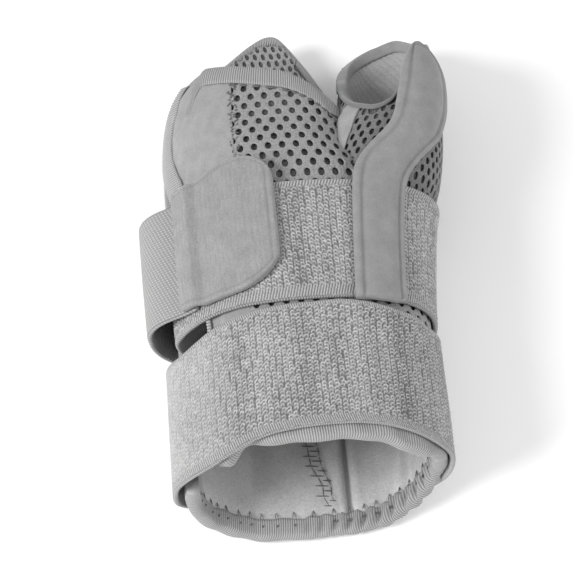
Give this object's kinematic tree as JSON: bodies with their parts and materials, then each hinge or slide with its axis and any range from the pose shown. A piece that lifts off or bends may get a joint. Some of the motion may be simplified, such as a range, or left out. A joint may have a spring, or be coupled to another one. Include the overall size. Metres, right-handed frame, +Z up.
{
  "type": "thumb stabilizer brace",
  "caption": "Soft wrist and thumb brace with a padded stay cover, mesh panels, a loop band with closing strap and a wide wrist strap, lying on its back.",
  "frame": {"origin": "middle of the part's length and width, on the surface that it lies on", "axes": "+Y from the forearm edge towards the fingers, +Z up through the palm side, +X towards the thumb"},
  "size_m": [0.103, 0.1872, 0.0509],
  "materials": {
    "lining": "brushed",
    "brushed_panel": "brushed",
    "air_mesh": "open mesh",
    "stay_cover": "brushed, padded",
    "loop_webbing": "loop knit",
    "elastic": "twill elastic",
    "hook_tab": "brushed",
    "binding": "ribbed tape"
  },
  "bodies": {
    "root": {"lining": "lining", "front_smooth_panel": "brushed_panel", "front_mesh_panel": "air_mesh", "back_panel": "air_mesh", "thumb_sleeve": "air_mesh", "web_patch": "brushed_panel", "stay_cover": "stay_cover", "loop_band": "loop_webbing", "closing_strap": "elastic", "hook_tab": "hook_tab", "wrist_strap": "loop_webbing", "wrist_strap_tab": "hook_tab", "wrist_binding": "binding", "hand_binding": "binding", "far_hand_binding": "binding", "side_binding_front": "binding", "side_binding_back": "binding", "thumb_binding": "binding"}
  },
  "joints": []
}
